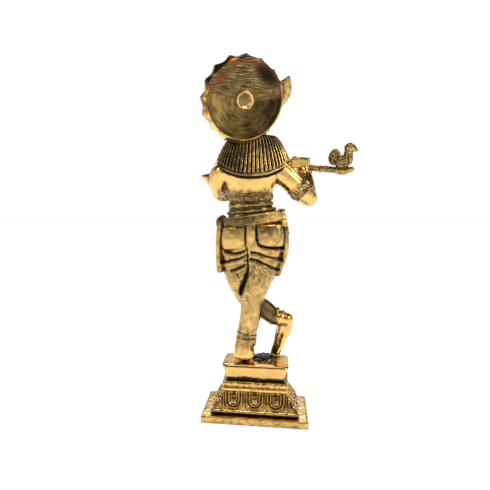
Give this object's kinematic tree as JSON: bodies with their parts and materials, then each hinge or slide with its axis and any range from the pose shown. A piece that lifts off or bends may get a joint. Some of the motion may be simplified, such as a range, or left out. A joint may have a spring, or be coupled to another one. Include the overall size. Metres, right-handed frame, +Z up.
{
  "type": "krishna statue",
  "caption": "Cast brass statue of Krishna playing the flute, crossed legs, rayed halo disc, small bird on the flute, stepped lotus plinth",
  "frame": {"origin": "middle of the plinth's flat underside", "axes": "+Z up, the figure looks along -Y, +X is the figure's left"},
  "size_m": [0.0904, 0.0514, 0.1986],
  "materials": {
    "polished_brass": "hand-finished cast brass, polished on the high parts, dark brown patina in the recesses",
    "dark_filed_brass": "cast brass with filed strokes under a brown-olive patina"
  },
  "bodies": {
    "root": {"plinth": "polished_brass", "krishna_figure": "polished_brass", "halo_disc": "dark_filed_brass", "flute_with_bird": "polished_brass"}
  },
  "joints": []
}
